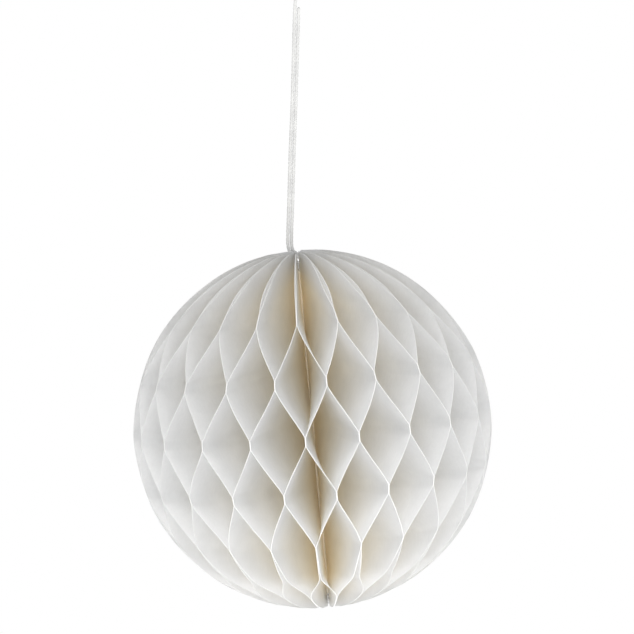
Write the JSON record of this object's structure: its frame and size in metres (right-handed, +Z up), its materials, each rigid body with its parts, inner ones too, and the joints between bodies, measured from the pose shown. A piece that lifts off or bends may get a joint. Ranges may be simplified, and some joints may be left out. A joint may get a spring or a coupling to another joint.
{
  "type": "paper honeycomb ball",
  "caption": "White tissue-paper honeycomb ball that opens from a flat pad between card boards, hung on a doubled cotton string with a loop.",
  "frame": {"origin": "the point where a hook bears on the top of the hanging loop", "axes": "+Z up along the pull of the string, -Y towards the front of the ball, +X to its right; the spine leans 5.15 degrees from +Z towards -X"},
  "size_m": [0.0997, 0.0996, 0.1918],
  "materials": {
    "tissue": "matt white tissue, slightly see-through against light",
    "board": "matt white card",
    "tape": "double-sided adhesive film",
    "binding": "glued paper binding",
    "string": "light cotton twine"
  },
  "bodies": {
    "hanging_side": {"cover_board_a": "board", "tape_strip_upper": "tape", "tape_strip_lower": "tape", "spine_binding": "binding", "crown_knot": "string", "foot_knot": "string", "string_inner": "string", "string_main": "string", "string_tail": "string", "loop_knot": "string", "hanging_loop": "string"},
    "free_board": {"cover_board_b": "board"},
    "leaf_01_sheet": {"leaf_01": "tissue"},
    "leaf_02_sheet": {"leaf_02": "tissue"},
    "leaf_03_sheet": {"leaf_03": "tissue"},
    "leaf_04_sheet": {"leaf_04": "tissue"},
    "leaf_05_sheet": {"leaf_05": "tissue"},
    "leaf_06_sheet": {"leaf_06": "tissue"},
    "leaf_07_sheet": {"leaf_07": "tissue"},
    "leaf_08_sheet": {"leaf_08": "tissue"},
    "leaf_09_sheet": {"leaf_09": "tissue"},
    "leaf_10_sheet": {"leaf_10": "tissue"},
    "leaf_11_sheet": {"leaf_11": "tissue"},
    "leaf_12_sheet": {"leaf_12": "tissue"},
    "leaf_13_sheet": {"leaf_13": "tissue"},
    "leaf_14_sheet": {"leaf_14": "tissue"},
    "leaf_15_sheet": {"leaf_15": "tissue"},
    "leaf_16_sheet": {"leaf_16": "tissue"},
    "leaf_17_sheet": {"leaf_17": "tissue"},
    "leaf_18_sheet": {"leaf_18": "tissue"},
    "leaf_19_sheet": {"leaf_19": "tissue"},
    "leaf_20_sheet": {"leaf_20": "tissue"},
    "leaf_21_sheet": {"leaf_21": "tissue"},
    "leaf_22_sheet": {"leaf_22": "tissue"},
    "leaf_23_sheet": {"leaf_23": "tissue"},
    "leaf_24_sheet": {"leaf_24": "tissue"},
    "leaf_25_sheet": {"leaf_25": "tissue"},
    "leaf_26_sheet": {"leaf_26": "tissue"},
    "leaf_27_sheet": {"leaf_27": "tissue"},
    "leaf_28_sheet": {"leaf_28": "tissue"},
    "leaf_29_sheet": {"leaf_29": "tissue"},
    "leaf_30_sheet": {"leaf_30": "tissue"},
    "leaf_31_sheet": {"leaf_31": "tissue"},
    "leaf_32_sheet": {"leaf_32": "tissue"},
    "leaf_33_sheet": {"leaf_33": "tissue"},
    "leaf_34_sheet": {"leaf_34": "tissue"},
    "leaf_35_sheet": {"leaf_35": "tissue"},
    "leaf_36_sheet": {"leaf_36": "tissue"},
    "leaf_37_sheet": {"leaf_37": "tissue"},
    "leaf_38_sheet": {"leaf_38": "tissue"},
    "leaf_39_sheet": {"leaf_39": "tissue"},
    "leaf_40_sheet": {"leaf_40": "tissue"},
    "leaf_41_sheet": {"leaf_41": "tissue"},
    "leaf_42_sheet": {"leaf_42": "tissue"}
  },
  "joints": [
    {"name": "cover_fold", "type": "hinge", "parent": "hanging_side", "child": "free_board", "pos_m": [0.0042, 0, -0.141], "axis": [-0.0898, 0, 0.996], "range_deg": [-340, 0]},
    {"name": "leaf_01_fold", "type": "hinge", "parent": "hanging_side", "child": "leaf_01_sheet", "pos_m": [0.0042, 0, -0.141], "axis": [-0.0898, 0, 0.996], "range_deg": [-4.05, 0], "deforming": ["leaf_01"]},
    {"name": "leaf_02_fold", "type": "hinge", "parent": "hanging_side", "child": "leaf_02_sheet", "pos_m": [0.0042, 0, -0.141], "axis": [-0.0898, 0, 0.996], "range_deg": [-12.14, 0], "deforming": ["leaf_02"]},
    {"name": "leaf_03_fold", "type": "hinge", "parent": "hanging_side", "child": "leaf_03_sheet", "pos_m": [0.0042, 0, -0.141], "axis": [-0.0898, 0, 0.996], "range_deg": [-20.24, 0], "deforming": ["leaf_03"]},
    {"name": "leaf_04_fold", "type": "hinge", "parent": "hanging_side", "child": "leaf_04_sheet", "pos_m": [0.0042, 0, -0.141], "axis": [-0.0898, 0, 0.996], "range_deg": [-28.33, 0], "deforming": ["leaf_04"]},
    {"name": "leaf_05_fold", "type": "hinge", "parent": "hanging_side", "child": "leaf_05_sheet", "pos_m": [0.0042, 0, -0.141], "axis": [-0.0898, 0, 0.996], "range_deg": [-36.43, 0], "deforming": ["leaf_05"]},
    {"name": "leaf_06_fold", "type": "hinge", "parent": "hanging_side", "child": "leaf_06_sheet", "pos_m": [0.0042, 0, -0.141], "axis": [-0.0898, 0, 0.996], "range_deg": [-44.52, 0], "deforming": ["leaf_06"]},
    {"name": "leaf_07_fold", "type": "hinge", "parent": "hanging_side", "child": "leaf_07_sheet", "pos_m": [0.0042, 0, -0.141], "axis": [-0.0898, 0, 0.996], "range_deg": [-52.62, 0], "deforming": ["leaf_07"]},
    {"name": "leaf_08_fold", "type": "hinge", "parent": "hanging_side", "child": "leaf_08_sheet", "pos_m": [0.0042, 0, -0.141], "axis": [-0.0898, 0, 0.996], "range_deg": [-60.72, 0], "deforming": ["leaf_08"]},
    {"name": "leaf_09_fold", "type": "hinge", "parent": "hanging_side", "child": "leaf_09_sheet", "pos_m": [0.0042, 0, -0.141], "axis": [-0.0898, 0, 0.996], "range_deg": [-68.81, 0], "deforming": ["leaf_09"]},
    {"name": "leaf_10_fold", "type": "hinge", "parent": "hanging_side", "child": "leaf_10_sheet", "pos_m": [0.0042, 0, -0.141], "axis": [-0.0898, 0, 0.996], "range_deg": [-76.91, 0], "deforming": ["leaf_10"]},
    {"name": "leaf_11_fold", "type": "hinge", "parent": "hanging_side", "child": "leaf_11_sheet", "pos_m": [0.0042, 0, -0.141], "axis": [-0.0898, 0, 0.996], "range_deg": [-85, 0], "deforming": ["leaf_11"]},
    {"name": "leaf_12_fold", "type": "hinge", "parent": "hanging_side", "child": "leaf_12_sheet", "pos_m": [0.0042, 0, -0.141], "axis": [-0.0898, 0, 0.996], "range_deg": [-93.1, 0], "deforming": ["leaf_12"]},
    {"name": "leaf_13_fold", "type": "hinge", "parent": "hanging_side", "child": "leaf_13_sheet", "pos_m": [0.0042, 0, -0.141], "axis": [-0.0898, 0, 0.996], "range_deg": [-101.19, 0], "deforming": ["leaf_13"]},
    {"name": "leaf_14_fold", "type": "hinge", "parent": "hanging_side", "child": "leaf_14_sheet", "pos_m": [0.0042, 0, -0.141], "axis": [-0.0898, 0, 0.996], "range_deg": [-109.29, 0], "deforming": ["leaf_14"]},
    {"name": "leaf_15_fold", "type": "hinge", "parent": "hanging_side", "child": "leaf_15_sheet", "pos_m": [0.0042, 0, -0.141], "axis": [-0.0898, 0, 0.996], "range_deg": [-117.38, 0], "deforming": ["leaf_15"]},
    {"name": "leaf_16_fold", "type": "hinge", "parent": "hanging_side", "child": "leaf_16_sheet", "pos_m": [0.0042, 0, -0.141], "axis": [-0.0898, 0, 0.996], "range_deg": [-125.48, 0], "deforming": ["leaf_16"]},
    {"name": "leaf_17_fold", "type": "hinge", "parent": "hanging_side", "child": "leaf_17_sheet", "pos_m": [0.0042, 0, -0.141], "axis": [-0.0898, 0, 0.996], "range_deg": [-133.57, 0], "deforming": ["leaf_17"]},
    {"name": "leaf_18_fold", "type": "hinge", "parent": "hanging_side", "child": "leaf_18_sheet", "pos_m": [0.0042, 0, -0.141], "axis": [-0.0898, 0, 0.996], "range_deg": [-141.67, 0], "deforming": ["leaf_18"]},
    {"name": "leaf_19_fold", "type": "hinge", "parent": "hanging_side", "child": "leaf_19_sheet", "pos_m": [0.0042, 0, -0.141], "axis": [-0.0898, 0, 0.996], "range_deg": [-149.76, 0], "deforming": ["leaf_19"]},
    {"name": "leaf_20_fold", "type": "hinge", "parent": "hanging_side", "child": "leaf_20_sheet", "pos_m": [0.0042, 0, -0.141], "axis": [-0.0898, 0, 0.996], "range_deg": [-157.86, 0], "deforming": ["leaf_20"]},
    {"name": "leaf_21_fold", "type": "hinge", "parent": "hanging_side", "child": "leaf_21_sheet", "pos_m": [0.0042, 0, -0.141], "axis": [-0.0898, 0, 0.996], "range_deg": [-165.95, 0], "deforming": ["leaf_21"]},
    {"name": "leaf_22_fold", "type": "hinge", "parent": "hanging_side", "child": "leaf_22_sheet", "pos_m": [0.0042, 0, -0.141], "axis": [-0.0898, 0, 0.996], "range_deg": [-174.05, 0], "deforming": ["leaf_22"]},
    {"name": "leaf_23_fold", "type": "hinge", "parent": "hanging_side", "child": "leaf_23_sheet", "pos_m": [0.0042, 0, -0.141], "axis": [-0.0898, 0, 0.996], "range_deg": [-182.14, 0], "deforming": ["leaf_23"]},
    {"name": "leaf_24_fold", "type": "hinge", "parent": "hanging_side", "child": "leaf_24_sheet", "pos_m": [0.0042, 0, -0.141], "axis": [-0.0898, 0, 0.996], "range_deg": [-190.24, 0], "deforming": ["leaf_24"]},
    {"name": "leaf_25_fold", "type": "hinge", "parent": "hanging_side", "child": "leaf_25_sheet", "pos_m": [0.0042, 0, -0.141], "axis": [-0.0898, 0, 0.996], "range_deg": [-198.33, 0], "deforming": ["leaf_25"]},
    {"name": "leaf_26_fold", "type": "hinge", "parent": "hanging_side", "child": "leaf_26_sheet", "pos_m": [0.0042, 0, -0.141], "axis": [-0.0898, 0, 0.996], "range_deg": [-206.43, 0], "deforming": ["leaf_26"]},
    {"name": "leaf_27_fold", "type": "hinge", "parent": "hanging_side", "child": "leaf_27_sheet", "pos_m": [0.0042, 0, -0.141], "axis": [-0.0898, 0, 0.996], "range_deg": [-214.52, 0], "deforming": ["leaf_27"]},
    {"name": "leaf_28_fold", "type": "hinge", "parent": "hanging_side", "child": "leaf_28_sheet", "pos_m": [0.0042, 0, -0.141], "axis": [-0.0898, 0, 0.996], "range_deg": [-222.62, 0], "deforming": ["leaf_28"]},
    {"name": "leaf_29_fold", "type": "hinge", "parent": "hanging_side", "child": "leaf_29_sheet", "pos_m": [0.0042, 0, -0.141], "axis": [-0.0898, 0, 0.996], "range_deg": [-230.72, 0], "deforming": ["leaf_29"]},
    {"name": "leaf_30_fold", "type": "hinge", "parent": "hanging_side", "child": "leaf_30_sheet", "pos_m": [0.0042, 0, -0.141], "axis": [-0.0898, 0, 0.996], "range_deg": [-238.81, 0], "deforming": ["leaf_30"]},
    {"name": "leaf_31_fold", "type": "hinge", "parent": "hanging_side", "child": "leaf_31_sheet", "pos_m": [0.0042, 0, -0.141], "axis": [-0.0898, 0, 0.996], "range_deg": [-246.91, 0], "deforming": ["leaf_31"]},
    {"name": "leaf_32_fold", "type": "hinge", "parent": "hanging_side", "child": "leaf_32_sheet", "pos_m": [0.0042, 0, -0.141], "axis": [-0.0898, 0, 0.996], "range_deg": [-255, 0], "deforming": ["leaf_32"]},
    {"name": "leaf_33_fold", "type": "hinge", "parent": "hanging_side", "child": "leaf_33_sheet", "pos_m": [0.0042, 0, -0.141], "axis": [-0.0898, 0, 0.996], "range_deg": [-263.1, 0], "deforming": ["leaf_33"]},
    {"name": "leaf_34_fold", "type": "hinge", "parent": "hanging_side", "child": "leaf_34_sheet", "pos_m": [0.0042, 0, -0.141], "axis": [-0.0898, 0, 0.996], "range_deg": [-271.19, 0], "deforming": ["leaf_34"]},
    {"name": "leaf_35_fold", "type": "hinge", "parent": "hanging_side", "child": "leaf_35_sheet", "pos_m": [0.0042, 0, -0.141], "axis": [-0.0898, 0, 0.996], "range_deg": [-279.29, 0], "deforming": ["leaf_35"]},
    {"name": "leaf_36_fold", "type": "hinge", "parent": "hanging_side", "child": "leaf_36_sheet", "pos_m": [0.0042, 0, -0.141], "axis": [-0.0898, 0, 0.996], "range_deg": [-287.38, 0], "deforming": ["leaf_36"]},
    {"name": "leaf_37_fold", "type": "hinge", "parent": "hanging_side", "child": "leaf_37_sheet", "pos_m": [0.0042, 0, -0.141], "axis": [-0.0898, 0, 0.996], "range_deg": [-295.48, 0], "deforming": ["leaf_37"]},
    {"name": "leaf_38_fold", "type": "hinge", "parent": "hanging_side", "child": "leaf_38_sheet", "pos_m": [0.0042, 0, -0.141], "axis": [-0.0898, 0, 0.996], "range_deg": [-303.57, 0], "deforming": ["leaf_38"]},
    {"name": "leaf_39_fold", "type": "hinge", "parent": "hanging_side", "child": "leaf_39_sheet", "pos_m": [0.0042, 0, -0.141], "axis": [-0.0898, 0, 0.996], "range_deg": [-311.67, 0], "deforming": ["leaf_39"]},
    {"name": "leaf_40_fold", "type": "hinge", "parent": "hanging_side", "child": "leaf_40_sheet", "pos_m": [0.0042, 0, -0.141], "axis": [-0.0898, 0, 0.996], "range_deg": [-319.76, 0], "deforming": ["leaf_40"]},
    {"name": "leaf_41_fold", "type": "hinge", "parent": "hanging_side", "child": "leaf_41_sheet", "pos_m": [0.0042, 0, -0.141], "axis": [-0.0898, 0, 0.996], "range_deg": [-327.86, 0], "deforming": ["leaf_41"]},
    {"name": "leaf_42_fold", "type": "hinge", "parent": "hanging_side", "child": "leaf_42_sheet", "pos_m": [0.0042, 0, -0.141], "axis": [-0.0898, 0, 0.996], "range_deg": [-335.95, 0], "deforming": ["leaf_42"]}
  ],
  "couplings": [
    {"joint": "leaf_01_fold", "follows": "cover_fold", "ratio": 0.011905},
    {"joint": "leaf_02_fold", "follows": "cover_fold", "ratio": 0.035714},
    {"joint": "leaf_03_fold", "follows": "cover_fold", "ratio": 0.059524},
    {"joint": "leaf_04_fold", "follows": "cover_fold", "ratio": 0.083333},
    {"joint": "leaf_05_fold", "follows": "cover_fold", "ratio": 0.10714},
    {"joint": "leaf_06_fold", "follows": "cover_fold", "ratio": 0.13095},
    {"joint": "leaf_07_fold", "follows": "cover_fold", "ratio": 0.15476},
    {"joint": "leaf_08_fold", "follows": "cover_fold", "ratio": 0.17857},
    {"joint": "leaf_09_fold", "follows": "cover_fold", "ratio": 0.20238},
    {"joint": "leaf_10_fold", "follows": "cover_fold", "ratio": 0.22619},
    {"joint": "leaf_11_fold", "follows": "cover_fold", "ratio": 0.25},
    {"joint": "leaf_12_fold", "follows": "cover_fold", "ratio": 0.27381},
    {"joint": "leaf_13_fold", "follows": "cover_fold", "ratio": 0.29762},
    {"joint": "leaf_14_fold", "follows": "cover_fold", "ratio": 0.32143},
    {"joint": "leaf_15_fold", "follows": "cover_fold", "ratio": 0.34524},
    {"joint": "leaf_16_fold", "follows": "cover_fold", "ratio": 0.36905},
    {"joint": "leaf_17_fold", "follows": "cover_fold", "ratio": 0.39286},
    {"joint": "leaf_18_fold", "follows": "cover_fold", "ratio": 0.41667},
    {"joint": "leaf_19_fold", "follows": "cover_fold", "ratio": 0.44048},
    {"joint": "leaf_20_fold", "follows": "cover_fold", "ratio": 0.46429},
    {"joint": "leaf_21_fold", "follows": "cover_fold", "ratio": 0.4881},
    {"joint": "leaf_22_fold", "follows": "cover_fold", "ratio": 0.51191},
    {"joint": "leaf_23_fold", "follows": "cover_fold", "ratio": 0.53571},
    {"joint": "leaf_24_fold", "follows": "cover_fold", "ratio": 0.55952},
    {"joint": "leaf_25_fold", "follows": "cover_fold", "ratio": 0.58333},
    {"joint": "leaf_26_fold", "follows": "cover_fold", "ratio": 0.60714},
    {"joint": "leaf_27_fold", "follows": "cover_fold", "ratio": 0.63095},
    {"joint": "leaf_28_fold", "follows": "cover_fold", "ratio": 0.65476},
    {"joint": "leaf_29_fold", "follows": "cover_fold", "ratio": 0.67857},
    {"joint": "leaf_30_fold", "follows": "cover_fold", "ratio": 0.70238},
    {"joint": "leaf_31_fold", "follows": "cover_fold", "ratio": 0.72619},
    {"joint": "leaf_32_fold", "follows": "cover_fold", "ratio": 0.75},
    {"joint": "leaf_33_fold", "follows": "cover_fold", "ratio": 0.77381},
    {"joint": "leaf_34_fold", "follows": "cover_fold", "ratio": 0.79762},
    {"joint": "leaf_35_fold", "follows": "cover_fold", "ratio": 0.82143},
    {"joint": "leaf_36_fold", "follows": "cover_fold", "ratio": 0.84524},
    {"joint": "leaf_37_fold", "follows": "cover_fold", "ratio": 0.86905},
    {"joint": "leaf_38_fold", "follows": "cover_fold", "ratio": 0.89286},
    {"joint": "leaf_39_fold", "follows": "cover_fold", "ratio": 0.91667},
    {"joint": "leaf_40_fold", "follows": "cover_fold", "ratio": 0.94048},
    {"joint": "leaf_41_fold", "follows": "cover_fold", "ratio": 0.96429},
    {"joint": "leaf_42_fold", "follows": "cover_fold", "ratio": 0.98809}
  ]
}
